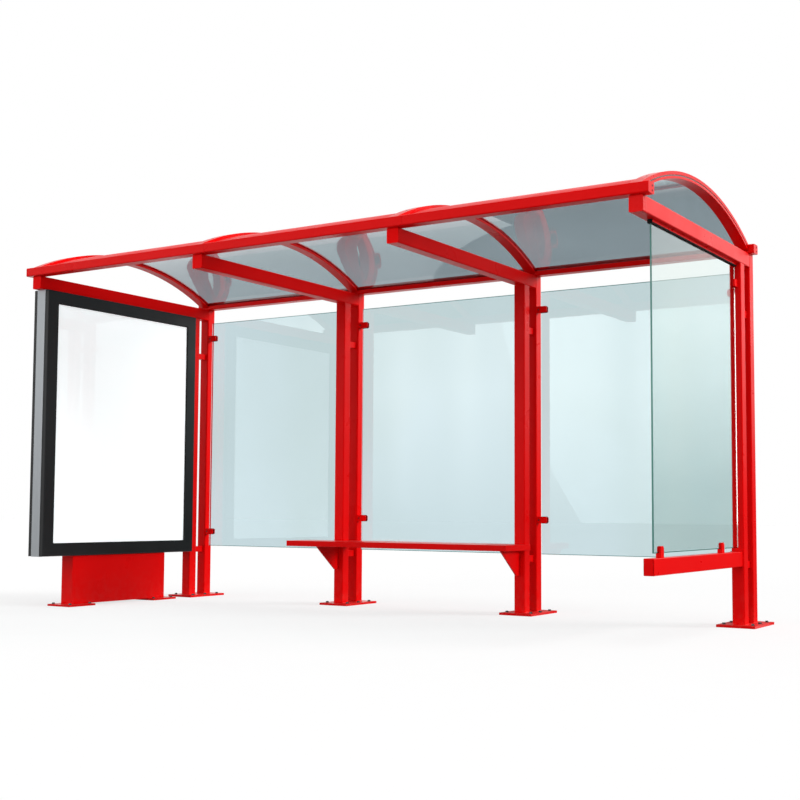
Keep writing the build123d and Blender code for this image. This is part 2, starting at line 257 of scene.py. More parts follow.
def hexagon(bm, across, low, high):
    """A hexagon head or nut across flats, its upper rim chamfered."""
    corner = across / math.sqrt(3)
    made = bmesh.ops.create_cone(bm, cap_ends=True, segments=6, radius1=corner, radius2=corner,
                                 depth=high - low,
                                 matrix=Matrix.Translation((0, 0, (low + high) / 2)))["verts"]
    rim = [e for e in edges_at(made) if all(abs(v.co.z - high) < SAME_PLACE for v in e.verts)]
    softened(bm, rim, ANCHOR_HEAD_CHAMFER, 2)


def template_of(bm):
    mesh = bpy.data.meshes.new("template")
    bm.to_mesh(mesh)
    bm.free()
    return mesh


def repeated(template, places):
    """One bmesh that holds a copy of the template at each place."""
    bm = bmesh.new()
    for place in places:
        first = len(bm.verts)
        bm.from_mesh(template)
        bm.verts.ensure_lookup_table()
        bmesh.ops.transform(bm, matrix=place, verts=bm.verts[first:])
    return bm


def piece(name, bm, material):
    """Puts a finished mesh in the scene and lets it ride with the shelter."""
    mesh = bpy.data.meshes.new(name)
    bm.to_mesh(mesh)
    bm.free()
    mesh.polygons.foreach_set("use_smooth", [True] * len(mesh.polygons))
    mesh.set_sharp_from_angle(angle=math.radians(CREASE_ANGLE))
    mesh.materials.append(material)
    made = bpy.data.objects.new(name, mesh)
    bpy.context.scene.collection.objects.link(made)
    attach(made, "root")


def anchor_screw(floor):
    """An anchor screw with its washer and a stub of its shank, seated at height floor."""
    under_head = floor + ANCHOR_WASHER_RISE
    rim = ANCHOR_WASHER - ANCHOR_WASHER_CHAMFER
    bm = bmesh.new()
    turned(bm, [(ANCHOR_WASHER_BORE, floor), (ANCHOR_WASHER, floor),
                (ANCHOR_WASHER, under_head - ANCHOR_WASHER_CHAMFER), (rim, under_head),
                (ANCHOR_WASHER_BORE, under_head)], steps=28, closed=True)
    head = bmesh.new()
    hexagon(head, ANCHOR_HEAD, under_head, under_head + ANCHOR_HEAD_RISE)
    bm.from_mesh(template_of(head))
    foot, top = floor - ANCHOR_SHANK_DOWN, under_head + ANCHOR_SHANK_UP
    shank = bmesh.new()
    turned(shank, [(0.0, foot), (ANCHOR_SHANK, foot), (ANCHOR_SHANK, top), (0.0, top)], steps=20)
    bm.from_mesh(template_of(shank))
    return template_of(bm)


plates_low, plates_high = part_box("post_base_plates")
posts = [(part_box(f"post_{i}")[0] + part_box(f"post_{i}")[1]) / 2 for i in (1, 2, 3, 4)]
plate_half = posts[0].x - plates_low.x
plate_y = (plates_low.y + plates_high.y) / 2
anchor_out = plate_half - ANCHOR_SIDES
anchor_reach = (plates_high.y - plates_low.y) / 2 - ANCHOR_ENDS
plate_coat = powder_coat("plate_powder_coat", wear=0.45, dust=0.10, splash=0.06)
coat(["post_base_plates"], plate_coat)
anchor_zinc = zinc_plate("anchor_zinc")
by_post, by_side, by_row = ANCHOR_TURNS
anchor_places = [Matrix.Translation((post.x + side * anchor_out, plate_y + row * anchor_reach, 0))
                 @ Matrix.Rotation(by_post * n + by_side * side + by_row * row, 4, "Z")
                 for n, post in enumerate(posts) for side in (-1, 1) for row in (-1, 0, 1)]
piece("post_anchors", repeated(anchor_screw(plates_high.z), anchor_places), anchor_zinc)


# ---- Posts
# Each post is two square steel tubes, one behind the other, welded to its plate all round the
# foot and tied by two short spacers. The whole frame is powder coated after welding.
POST_TUBE = 0.080
WELD_LEG = 0.006
WELD_CORNER = 0.012
WELD_BITE = 0.001               # top of the bead inside the tube's face

post_coat = powder_coat("post_powder_coat", wear=0.25, dust=0.03, splash=0.05)
coat(["post_1", "post_2", "post_3", "post_4", "post_spacers"], post_coat)


def foot_weld(bm, x, y, z, side):
    """The bead round a tube's foot: a low block whose top is drawn in to the tube."""
    reach = side / 2 + WELD_LEG
    top = side / 2 - WELD_BITE
    made = bmesh.ops.create_cube(bm, size=1.0)["verts"]
    bmesh.ops.scale(bm, vec=(2 * reach, 2 * reach, WELD_LEG), verts=made)
    bmesh.ops.translate(bm, vec=(x, y, z + WELD_LEG / 2), verts=made)
    for v in made:
        if v.co.z > z + WELD_LEG / 2:
            v.co.x = x + (v.co.x - x) * top / reach
            v.co.y = y + (v.co.y - y) * top / reach
    uprights = [e for e in edges_at(made)
                if abs(e.verts[0].co.z - e.verts[1].co.z) > WELD_LEG / 2]
    softened(bm, uprights, WELD_CORNER, 4)


welds = bmesh.new()
for i in (1, 2, 3, 4):
    low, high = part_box(f"post_{i}")
    for y in (low.y + POST_TUBE / 2, high.y - POST_TUBE / 2):
        foot_weld(welds, (low.x + high.x) / 2, y, plates_high.z, POST_TUBE)
piece("post_foot_welds", welds, post_coat)


# ---- Roof arms
# Four square-cut steel tubes that reach forward from the rear tubes over the front ones and
# carry the front beam on their tips. Welded, ground flush and powder coated.
# Arms 1 to 3 take a lighter red and less sheen than the rest of the steel: painted light that
# lifts them in the shade of the roof.
ARM_RED_PAINTED_LIGHT = (0.860, 0.0018, 0.0022)
ARM_RED_DEEP_PAINTED_LIGHT = (0.820, 0.0015, 0.0018)

coat(["roof_arm_1", "roof_arm_2", "roof_arm_3"],
     powder_coat("arm_coat_painted_light", colour=ARM_RED_PAINTED_LIGHT, deep=ARM_RED_DEEP_PAINTED_LIGHT, wear=0.20, dust=0.05,
                 specular=0.04))
# The last arm keeps the common red with more sheen than the rest of the steel: a painted highlight
# on its open, lit side.
coat(["roof_arm_4"],
     powder_coat("outer_arm_coat_painted_sheen", wear=0.20, dust=0.05, specular=0.20))


# ---- Front and rear beams
# Long steel tubes on the arm tips and on the rear tubes. Their ends are closed by caps, each
# held by two small black socket screws.
CAP_THICKNESS = 0.003
CAP_SCREW = (0.0055, 0.0016, 0.005, 0.0012)    # head radius and height, socket width and depth
CAP_SCREW_BEHIND = 0.014        # screws behind the middle of the cap
CAP_SCREW_SPREAD = 0.013
SCREW_CROWN = 0.72              # where the flat of a head ends, as a share of its radius
SCREW_SHOULDER = (0.93, 0.62)   # shares of radius and height
SCREW_RIM = 0.2                 # share of the height
SCREW_SUNK = 0.001
BLACK_STEEL = (0.050, 0.050, 0.052)

beam_coat = powder_coat("beam_powder_coat", wear=0.25, dust=0.06)
coat(["front_beam", "rear_beam", "beam_end_caps"], beam_coat)


def socket_screw(radius, height, key, depth):
    """A button-head screw with a round socket as wide as its key, standing on Z = 0."""
    out, up = SCREW_SHOULDER
    bm = bmesh.new()
    turned(bm, [(0.0, height - depth), (key * 0.5, height - depth), (key * 0.5, height),
                (radius * SCREW_CROWN, height), (radius * out, height * up),
                (radius, height * SCREW_RIM), (radius, -SCREW_SUNK), (0.0, -SCREW_SUNK)])
    return template_of(bm)


black_steel = zinc_plate("blackened_screws", BLACK_STEEL)
cap_places = []
for beam in ("front_beam", "rear_beam"):
    low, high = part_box(beam)
    for way, end in ((-1, low.x), (1, high.x)):
        face = end + way * CAP_THICKNESS
        for rise in (-1, 1):
            cap_places.append(Matrix.Translation((face, (low.y + high.y) / 2 + CAP_SCREW_BEHIND,
                                                  (low.z + high.z) / 2 + rise * CAP_SCREW_SPREAD))
                              @ Matrix.Rotation(way * math.pi / 2, 4, "Y"))
piece("beam_cap_screws", repeated(socket_screw(*CAP_SCREW), cap_places), black_steel)


# ---- Arched ribs and caps
# Rolled steel bars between the beams. The roof sheets lie on the ribs, and a second rolled bar
# is screwed down over each joint to clamp them.
RIB_SCREW = (0.0065, 0.0008, 0.004, 0.0006)
RIB_SCREW_STEP = 0.300
RIB_SCREW_ROW = (-2.5, -1.5, -0.5, 0.5, 1.5, 2.5)

rib_coat = powder_coat("rib_powder_coat", wear=0.20, dust=0.05)
coat([f"rib_{i}" for i in (1, 2, 3, 4)] + [f"rib_cap_{i}" for i in (1, 2, 3, 4)], rib_coat)

ridge_low, ridge_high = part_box("rib_cap_1")
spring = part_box("front_beam")[1].z
half_span = (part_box("rear_beam")[0].y - ridge_low.y) / 2
ridge_y = ridge_low.y + half_span
rise = ridge_high.z - spring
arch_radius = (half_span ** 2 + rise ** 2) / (2 * rise)
arch_centre = ridge_high.z - arch_radius
rib_screw_places = []
for post in posts:
    for n in RIB_SCREW_ROW:
        lean = n * RIB_SCREW_STEP / arch_radius
        rib_screw_places.append(Matrix.Translation((post.x, ridge_y, arch_centre))
                                @ Matrix.Rotation(-lean, 4, "X")
                                @ Matrix.Translation((0, 0, arch_radius)))
piece("rib_cap_screws", repeated(socket_screw(*RIB_SCREW), rib_screw_places), black_steel)


# ---- Roof sheets
# Three bent sheets of smoke-grey solid polycarbonate, 6 mm thick and polished on both sides.
# Bending leaves a slight ripple in them, and a little dust lies on top.
SMOKE = (0.275, 0.335, 0.365)
SMOKE_DEEP = (0.240, 0.295, 0.325)
SMOKE_SHADOW = (0.62, 0.67, 0.68)
SMOKE_BENDING = 1.58
SMOKE_ROUGHNESS = (0.02, 0.06)
SMOKE_DRIFT = 1.1               # patterns, in patches per metre
SMOKE_DUST = 14.0
SMOKE_SHEEN = 6.0
SMOKE_RIPPLE = 2.3
SMOKE_RIPPLE_DEPTH = 0.004


def let_lamps_through(tree, shader, shade):
    """Clear sheet that lamps and mirrored rays pass with a tint of their own. A ray that is
    already inside the sheet is still bent."""
    path = add(tree, "ShaderNodeLightPath").outputs
    lit = maths(tree, "MAXIMUM", path["Is Shadow Ray"], path["Is Diffuse Ray"])
    mirrored = maths(tree, "SUBTRACT", path["Is Glossy Ray"], path["Is Transmission Ray"])
    inside = maths(tree, "MODULO", path["Transmission Depth"], 2.0)
    mirrored = maths(tree, "SUBTRACT", mirrored, inside)
    lit = maths(tree, "MAXIMUM", lit, mirrored)
    through = add(tree, "ShaderNodeBsdfTransparent", {"Color": (*shade, 1.0)}).outputs[0]
    return add(tree, "ShaderNodeMixShader", {0: lit, 1: shader, 2: through}).outputs[0]


def close_clear_finish(tree, body, roughness, normal, bending, shade):
    clear = {"IOR": bending, "Transmission Weight": 1.0}
    shader = surface(tree, body, roughness, normal, clear)
    close_finish(tree, let_lamps_through(tree, shader, shade))


def smoke_sheet(name):
    """Smoke-grey sheet: slightly uneven tint, a long ripple from bending, dust on top."""
    material, tree = new_finish(name)
    body = mottled(tree, cloud(tree, SMOKE_DRIFT), SMOKE_DEEP, SMOKE)
    dusty = ramp(tree, cloud(tree, SMOKE_DUST, detail=5.0), 0.45, 0.75, 0.0, 0.10)
    settled = times(tree, ramp(tree, facing(tree, "Z"), 0.2, 0.9), dusty)
    body = tint(tree, settled, body, STREET_DUST)
    gloss = uneven(tree, cloud(tree, SMOKE_SHEEN, detail=3.0), *SMOKE_ROUGHNESS)
    ripple = bumps(tree, cloud(tree, SMOKE_RIPPLE, detail=1.0), SMOKE_RIPPLE_DEPTH, strength=0.20)
    close_clear_finish(tree, body, gloss, ripple, SMOKE_BENDING, SMOKE_SHADOW)
    return material


coat(["roof_sheet_1", "roof_sheet_2", "roof_sheet_3"], smoke_sheet("smoke_polycarbonate"))


# ---- Front flashings
# Thin folded steel sheets over the front edge of the roof, one in each bay, coil coated in the
# same red. They turn the rain over the front beam.
SHEET_RED = (0.820, 0.0030, 0.0045)
SHEET_RED_DEEP = (0.780, 0.0025, 0.0040)

coat(["front_flashing_1", "front_flashing_2", "front_flashing_3"],
     powder_coat("flashing_coil_coat", colour=SHEET_RED, deep=SHEET_RED_DEEP, wear=0.15, dust=0.02,
                 specular=0.010))


# ---- Rear glass
# Three panes of 8 mm toughened glass with polished edges, each held off the posts by four
# slotted clamps.
GLASS_TINT = (0.575, 0.710, 0.730)
GLASS_TINT_COOL = (0.610, 0.750, 0.790)
GLASS_EDGE = (0.050, 0.190, 0.180)
GLASS_SHADOW = (0.90, 0.95, 0.95)
GLASS_BENDING = 1.52
GLASS_DRIFT = 0.9               # patterns, in patches per metre, and their stretch
GLASS_DRIFT_STRETCH = (1.0, 1.0, 0.6)
GLASS_SMEARS = 7.0
GLASS_SMEAR_STRETCH = (1.0, 1.0, 0.35)
GLASS_SMEAR_ROUGHNESS = 0.02
GLASS_WAVES = 1.7
GLASS_WAVE_DEPTH = 0.0015
GLASS_ARRIS = 0.0045            # height of the deeper line along a cut edge
GLASS_ARRIS_FULL = 0.8          # share of that height where the line is at full depth


def float_glass(name, pale, cool, edge_tint, face, shade=GLASS_SHADOW, ends=None):
    """Flat glass: faint tint across the pane, deep tint on its cut edges, slight smears.
    face is the axis that the pane looks along, ends the heights of its lower and upper edges."""
    material, tree = new_finish(name)
    drift = cloud(tree, GLASS_DRIFT, stretch=GLASS_DRIFT_STRETCH)
    body = mottled(tree, drift, pale, cool, 0.40, 0.62)
    cut = ramp(tree, maths(tree, "ABSOLUTE", facing(tree, face)), 0.9, 0.5)
    body = tint(tree, cut, body, edge_tint)
    if ends:
        height = place_along(tree, "Z")
        full = GLASS_ARRIS_FULL * GLASS_ARRIS
        foot = ramp(tree, height, ends[0] + GLASS_ARRIS, ends[0] + full)
        head = ramp(tree, height, ends[1] - GLASS_ARRIS, ends[1] - full)
        body = tint(tree, maths(tree, "MAXIMUM", foot, head), body, edge_tint)
    smears = cloud(tree, GLASS_SMEARS, detail=5.0, stretch=GLASS_SMEAR_STRETCH)
    gloss = ramp(tree, smears, 0.48, 0.75, 0.0, GLASS_SMEAR_ROUGHNESS)
    waves = bumps(tree, cloud(tree, GLASS_WAVES, detail=1.0), GLASS_WAVE_DEPTH, strength=0.07)
    close_clear_finish(tree, body, gloss, waves, GLASS_BENDING, shade)
    return material


coat(["rear_glass_1", "rear_glass_2", "rear_glass_3"],
     float_glass("rear_float_glass", GLASS_TINT, GLASS_TINT_COOL, GLASS_EDGE, "Y",
                 ends=[corner.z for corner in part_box("rear_glass_1")]))


# ---- Rear glass clamps
# Red powder-coated blocks screwed to the sides of the rear tubes, with a slot for the pane and
# rubber lips round its mouth. A bolt beside the edge of the pane draws each slot shut.
CLAMP_LENGTH = 0.075
CLAMP_HALF_HEIGHT = 0.0225
CLAMP_SLOT_FROM = 0.030
CLAMP_CORNER = 0.007
CLAMP_LIP_CORNER = 0.9          # corner of the lip as a share of the clamp's
CLAMP_BOLT = (0.0055, 0.0030, 0.005, 0.0022)
CLAMP_BOLT_AT = 0.015
CLAMP_HIGH = 2.100
CLAMP_LOW = ((0.520, 0.520), (0.640, 0.640), (0.640, 0.432))
LIP = 0.0015
LIP_WIDTH = 0.0030
LIP_GAP = 0.0001
RUBBER = (0.0045, 0.0040, 0.0040)
RUBBER_WORN = (0.020, 0.019, 0.019)
RUBBER_ROUGHNESS = (0.55, 0.75)
RUBBER_SPECULAR = 0.10
RUBBER_ROUNDING = 0.0006
RUBBER_DRIFT = 30.0             # patterns, in patches per metre
RUBBER_SHEEN = 80.0
RUBBER_GRAIN = 500.0
RUBBER_GRAIN_DEPTH = 0.0003

clamp_coat = powder_coat("clamp_powder_coat", wear=0.40, dust=0.04)
coat(["rear_glass_clamps"], clamp_coat)


def rubber(name):
    """Black weather seal: matt, slightly greyed along its edges."""
    material, tree = new_finish(name)
    soft, edge = edge_of(tree, RUBBER_ROUNDING)
    black = mottled(tree, cloud(tree, RUBBER_DRIFT, detail=3.0), RUBBER, shaded(RUBBER, 2.0))
    black = tint(tree, times(tree, edge, 0.4), black, RUBBER_WORN)
    gloss = uneven(tree, cloud(tree, RUBBER_SHEEN, detail=3.0), *RUBBER_ROUGHNESS)
    grain = bumps(tree, cloud(tree, RUBBER_GRAIN), RUBBER_GRAIN_DEPTH, strength=0.2, normal=soft)
    close_finish(tree, surface(tree, black, gloss, grain, {"Specular IOR Level": RUBBER_SPECULAR}))
    return material


def pushed(bm, faces, way):
    """Pushes faces along way into a closed solid."""
    run = bmesh.ops.extrude_face_region(bm, geom=faces)["geom"]
    bmesh.ops.translate(bm, vec=way, verts=[g for g in run if isinstance(g, bmesh.types.BMVert)])
    bmesh.ops.recalc_face_normals(bm, faces=bm.faces)


def drawn(bm, outline, length):
    """Draws a closed outline of (x, z) points along +Y into a solid bar."""
    face = bm.faces.new([bm.verts.new((x, 0.0, z)) for x, z in outline])
    pushed(bm, [face], (0, length, 0))


clamps_low, clamps_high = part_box("rear_glass_clamps")
clamp_y = (clamps_low.y + clamps_high.y) / 2
glass_half = (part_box("rear_glass_1")[1].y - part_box("rear_glass_1")[0].y) / 2
inner, outer = CLAMP_SLOT_FROM, CLAMP_LENGTH
top, cut = CLAMP_HALF_HEIGHT, CLAMP_CORNER
lip_cut = cut * CLAMP_LIP_CORNER
lip_outline = [(inner, top), (outer - cut, top), (outer, top - cut), (outer, cut - top),
               (outer - cut, -top), (inner, -top), (inner, -top - LIP),
               (outer - lip_cut, -top - LIP), (outer + LIP, lip_cut - top),
               (outer + LIP, top - lip_cut), (outer - lip_cut, top + LIP), (inner, top + LIP)]
lip_bm = bmesh.new()
drawn(lip_bm, lip_outline, LIP_WIDTH)
lip_places = []
bolt_places = []
for bay in range(3):
    ends = ((posts[bay].x + POST_TUBE / 2, 1), (posts[bay + 1].x - POST_TUBE / 2, -1))
    for (x, way), low_z in zip(ends, CLAMP_LOW[bay]):
        for z in (low_z, CLAMP_HIGH):
            root = (Matrix.Translation((x, clamp_y, z))
                    @ Matrix.Rotation(math.pi * (way < 0), 4, "Z"))
            for face in (-1, 1):
                start = face * (glass_half + LIP_GAP) - (LIP_WIDTH if face < 0 else 0.0)
                lip_places.append(root @ Matrix.Translation((0, start, 0)))
                bolt_face = face * (clamps_high.y - clamp_y)
                bolt_places.append(root @ Matrix.Translation((CLAMP_BOLT_AT, bolt_face, 0))
                                   @ Matrix.Rotation(-face * math.pi / 2, 4, "X"))
seal_rubber = rubber("seal_rubber")
piece("rear_clamp_lips", repeated(template_of(lip_bm), lip_places), seal_rubber)
piece("rear_clamp_bolts", repeated(socket_screw(*CLAMP_BOLT), bolt_places), black_steel)


# ---- Side glass
# One 10 mm pane under the last arm. Seen on edge it is sea green. It hangs in a channel under
# the arm, rests in two shoes on the side rail and is gripped once by the post.
SIDE_TINT = (0.790, 0.875, 0.845)
SIDE_TINT_COOL = (0.760, 0.860, 0.840)
SIDE_EDGE = (0.012, 0.240, 0.190)
SIDE_SHADOW = (0.84, 0.90, 0.90)
GROUND_EDGE = (0.014, 0.140, 0.115)
GROUND_EDGE_PALE = (0.050, 0.250, 0.210)
GROUND_ROUGHNESS = (0.28, 0.42)
GROUND_GRAIN = 700.0            # patterns, in patches per metre, and their stretch
GROUND_GRAIN_STRETCH = (1.0, 1.0, 0.1)
GROUND_GRAIN_DEPTH = 0.0001
GROUND_WEAR = 3.0
GROUND_WEAR_STRETCH = (1.0, 1.0, 0.4)
EDGE_INSET = 0.0006             # ground strip in from the pane's faces and foot
EDGE_FRONT = 0.0005             # its two faces ahead of the pane, and its top under the seal
EDGE_BACK = 0.0001
EDGE_UNDER = 0.0005
COVER = 0.0015                  # thickness of the channel's seal
COVER_DROP = 0.0020
COVER_RISE = 0.0060
COVER_GAP = 0.0001
COVER_LAP = 0.0002
COVER_SHORT = 0.001
COVER_END = 0.0021
COVER_END_CORNER = 0.0006
SHOE_SCREW = (0.0050, 0.0012, 0.004, 0.0010)
SHOE_SCREW_RISE = 0.042
SHOE_SCREW_IN = 0.023

coat(["side_glass"],
     float_glass("side_float_glass", SIDE_TINT, SIDE_TINT_COOL, SIDE_EDGE, "X", SIDE_SHADOW,
                 [corner.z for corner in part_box("side_glass")]))
coat(["side_glass_channel"], powder_coat("channel_powder_coat", wear=0.2))
coat(["side_glass_clamp", "side_glass_shoes"], clamp_coat)


def ground_edge(name):
    """The finely ground front edge of the pane: sea green, satin, paler where it is worn."""
    material, tree = new_finish(name)
    grain = cloud(tree, GROUND_GRAIN, stretch=GROUND_GRAIN_STRETCH)
    worn = cloud(tree, GROUND_WEAR, detail=3.0, stretch=GROUND_WEAR_STRETCH)
    green = mottled(tree, worn, GROUND_EDGE, GROUND_EDGE_PALE, 0.35, 0.70)
    gloss = uneven(tree, grain, *GROUND_ROUGHNESS)
    lines = bumps(tree, grain, GROUND_GRAIN_DEPTH, strength=0.08)
    close_finish(tree, surface(tree, green, gloss, lines))
    return material


def plate_block(bm, low, high, cut=0.0):
    """A solid block between two corners, its edges rounded by cut."""
    made = bmesh.ops.create_cube(bm, size=1.0)["verts"]
    bmesh.ops.scale(bm, vec=[high[i] - low[i] for i in range(3)], verts=made)
    bmesh.ops.translate(bm, vec=[(low[i] + high[i]) / 2 for i in range(3)], verts=made)
    if cut:
        softened(bm, edges_at(made), cut, 2)


side_low, side_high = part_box("side_glass")
channel_low, channel_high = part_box("side_glass_channel")
side_x = (side_low.x + side_high.x) / 2
side_half = (side_high.x - side_low.x) / 2
channel_half = (channel_high.x - channel_low.x) / 2
mouth = channel_low.z

edge_bm = bmesh.new()
plate_block(edge_bm,
            (side_low.x + EDGE_INSET, side_low.y - EDGE_FRONT, side_low.z + EDGE_INSET),
            (side_high.x - EDGE_INSET, side_low.y - EDGE_BACK, mouth - COVER_DROP - EDGE_UNDER))
piece("side_glass_front_edge", edge_bm, ground_edge("ground_glass_edge"))

cover_outline = [(channel_half + COVER_GAP, mouth + COVER_RISE),
                 (channel_half + COVER_GAP, mouth - COVER_LAP),
                 (side_half + COVER_GAP, mouth - COVER_LAP),
                 (side_half + COVER_GAP, mouth - COVER_DROP),
                 (channel_half + COVER, mouth - COVER_DROP),
                 (channel_half + COVER, mouth + COVER_RISE)]
covers = bmesh.new()
for way in (1, -1):
    cover_bm = bmesh.new()
    outline = [(side_x + way * x, z) for x, z in cover_outline]
    drawn(cover_bm, outline, channel_high.y - channel_low.y - COVER_SHORT)
    bmesh.ops.translate(cover_bm, vec=(0, channel_low.y, 0), verts=cover_bm.verts)
    covers.from_mesh(template_of(cover_bm))
end_bm = bmesh.new()
plate_block(end_bm, (side_x - channel_half - COVER, channel_low.y - COVER_END, mouth - COVER_DROP),
            (side_x + channel_half + COVER, channel_low.y - COVER_GAP, channel_high.z - COVER_LAP),
            COVER_END_CORNER)
covers.from_mesh(template_of(end_bm))
piece("side_channel_seal", covers, seal_rubber)

shoes_low, shoes_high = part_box("side_glass_shoes")
rail_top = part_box("side_rail")[1].z
shoe_half = (shoes_high.x - shoes_low.x) / 2
shoe_places = [Matrix.Translation((side_x + way * shoe_half, y, rail_top + SHOE_SCREW_RISE))
               @ Matrix.Rotation(way * math.pi / 2, 4, "Y")
               for y in (shoes_low.y + SHOE_SCREW_IN, shoes_high.y - SHOE_SCREW_IN)
               for way in (-1, 1)]
piece("side_shoe_screws", repeated(socket_screw(*SHOE_SCREW), shoe_places), clamp_coat)


# ---- Side rail
# Square-cut steel rail from the last post forward, its tip rounded and closed. It carries the
# side glass on the two shoes.
coat(["side_rail"], powder_coat("rail_powder_coat", wear=0.30, dust=0.08))


# ---- Bench
# A folded steel seat between the second and third posts, on two welded gussets. Its coating
# is rubbed along the edges by use.
coat(["bench_seat"], powder_coat("seat_powder_coat", wear=0.60, dust=0.05))
coat(["bench_brackets"], powder_coat("bracket_powder_coat", wear=0.25, dust=0.03))


# ---- Display case body
# A grey anodised aluminium frame, brushed along its length, between two black doors. It is
# made of extruded profile and stands on the pedestal.
ALUMINIUM = (0.285, 0.302, 0.318)
ALUMINIUM_EDGE = (0.60, 0.62, 0.64)
ALUMINIUM_METAL = 0.55          # share of bare metal under the anodised skin
ALUMINIUM_ROUNDING = 0.0015
BRUSHING = 900.0                # patches per metre
BRUSHING_STRETCH = (1.0, 0.04, 0.02)
BRUSHING_DEPTH = 0.0002
BRUSHED_ROUGHNESS = (0.36, 0.50)


def anodised(name):
    """Anodised aluminium: fine brushed lines, brighter along its edges."""
    material, tree = new_finish(name)
    soft, edge = edge_of(tree, ALUMINIUM_ROUNDING)
    brushed = cloud(tree, BRUSHING, stretch=BRUSHING_STRETCH)
    grey = mottled(tree, brushed, shaded(ALUMINIUM, 0.9), ALUMINIUM, 0.3, 0.7)
    grey = tint(tree, times(tree, edge, 0.4), grey, ALUMINIUM_EDGE)
    gloss = uneven(tree, brushed, *BRUSHED_ROUGHNESS)
    lines = bumps(tree, brushed, BRUSHING_DEPTH, strength=0.06, normal=soft)
    close_finish(tree, surface(tree, grey, gloss, lines, {"Metallic": ALUMINIUM_METAL}))
    return material


coat(["case_body"], anodised("anodised_aluminium"))


# ---- Display case doors
# Black powder-coated aluminium frames, one each side, with rounded outer edges. A rubber bead
# round the opening seals the pane.
BLACK = (0.0115, 0.0122, 0.0130)
BLACK_WORN = (0.024, 0.025, 0.027)
BLACK_ROUGHNESS = (0.34, 0.46)
BLACK_SPECULAR = 0.20
BLACK_ROUNDING = 0.002
BLACK_DRIFT = 2.0               # patterns, in patches per metre
BLACK_RUBBING = 45.0
BLACK_PEEL = 600.0
BLACK_DUST = 0.1
FRAME_SIDE = 0.095
FRAME_ENDS = 0.088
DOOR_REBATE = 0.012
BEAD = 0.004
BEAD_RISE = 0.0035
BEAD_GAP = 0.0001


def black_coat(name):
    """Black powder coat: close texture, greyed edges, a film of dust on top."""
    material, tree = new_finish(name)
    soft, edge = edge_of(tree, BLACK_ROUNDING)
    paint = mottled(tree, cloud(tree, BLACK_DRIFT, detail=3.0), shaded(BLACK, 0.8), BLACK)
    rubbed = ramp(tree, cloud(tree, BLACK_RUBBING, detail=4.0), 0.45, 0.7, 0.1, 0.6)
    paint = tint(tree, times(tree, edge, rubbed), paint, BLACK_WORN)
    paint = tint(tree, times(tree, level_top(tree), BLACK_DUST), paint, STREET_DUST)
    gloss = uneven(tree, cloud(tree, SHEEN, detail=3.0), *BLACK_ROUGHNESS)
    peel = cloud(tree, BLACK_PEEL, detail=1.0)
    peel = bumps(tree, peel, PAINT_PEEL_DEPTH, strength=0.15, normal=soft)
    close_finish(tree, surface(tree, paint, gloss, peel, {"Specular IOR Level": BLACK_SPECULAR}))
    return material


coat(["case_door_inner", "case_door_outer"], black_coat("door_black_coat"))


def bead_frame(bm, low, high, width, x0, x1):
    """A square-section bead, as wide as width, inside an opening in the YZ plane from x0 to x1."""
    rims = []
    for inset in (0.0, width):
        (y0, z0), (y1, z1) = [low[i] + inset for i in (0, 1)], [high[i] - inset for i in (0, 1)]
        points = [bm.verts.new((x0, y, z)) for y, z in ((y0, z0), (y1, z0), (y1, z1), (y0, z1))]
        rims += [bm.edges.new((points[i], points[(i + 1) % 4])) for i in range(4)]
    pushed(bm, bmesh.ops.bridge_loops(bm, edges=rims)["faces"], (x1 - x0, 0, 0))


beads = bmesh.new()
for door, way in (("case_door_inner", 1), ("case_door_outer", -1)):
    low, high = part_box(door)
    pane_face = (high.x if way > 0 else low.x) - way * DOOR_REBATE
    bead_bm = bmesh.new()
    side, ends = FRAME_SIDE + BEAD_GAP, FRAME_ENDS + BEAD_GAP
    bead_frame(bead_bm, (low.y + side, low.z + ends), (high.y - side, high.z - ends), BEAD,
               pane_face + way * BEAD_GAP, pane_face + way * BEAD_RISE)
    beads.from_mesh(template_of(bead_bm))
piece("case_door_seals", beads, seal_rubber)


# ---- Posters and panes
# A blank white film lies behind a clear pane in each door. It glows with painted light, which
# keeps it white in the shade of the roof; no lamp is modelled in the case. It is smooth and matt
# with the faint cockle of a large print.
FILM = (0.870, 0.872, 0.875)
FILM_SHADE = (0.840, 0.845, 0.850)
FILM_PAINTED_GLOW = 0.55
FILM_ROUGHNESS = (0.55, 0.65)
FILM_DRIFT = 1.4                # patterns, in patches per metre
FILM_SHEEN = 40.0
FILM_COCKLE = 3.0
FILM_COCKLE_DEPTH = 0.003
PANE_TINT = (0.965, 0.975, 0.975)
PANE_TINT_COOL = (0.955, 0.970, 0.970)
PANE_EDGE = (0.30, 0.45, 0.42)
PANE_SHADOW = (0.97, 0.98, 0.98)


def white_film(name):
    """White film: even, matt, slightly cockled, with a painted glow but no lamp behind it."""
    material, tree = new_finish(name)
    paper = mottled(tree, cloud(tree, FILM_DRIFT), FILM_SHADE, FILM, 0.3, 0.7)
    cockle = bumps(tree, cloud(tree, FILM_COCKLE), FILM_COCKLE_DEPTH, strength=0.15)
    gloss = uneven(tree, cloud(tree, FILM_SHEEN, detail=3.0), *FILM_ROUGHNESS)
    # The glow is painted light: the film shines by itself so that it stays white under the roof.
    glow = {"Emission Color": paper, "Emission Strength": FILM_PAINTED_GLOW}
    close_finish(tree, surface(tree, paper, gloss, cockle, glow))
    return material


coat(["case_posters"], white_film("blank_white_film_painted_glow"))
coat(["case_panes"],
     float_glass("case_pane", PANE_TINT, PANE_TINT_COOL, PANE_EDGE, "X", PANE_SHADOW))


# ---- Pedestal and feet
# A welded sheet-steel box under the case on two foot plates, each held by four anchor screws.
# Red powder coat, splashed near the ground.
FOOT_HALF = 0.125               # half a foot plate, front to back
FOOT_ANCHOR_X = 0.085
FOOT_ANCHOR_Y = 0.095
FOOT_ANCHOR_TURNS = (0.8, 1.3)

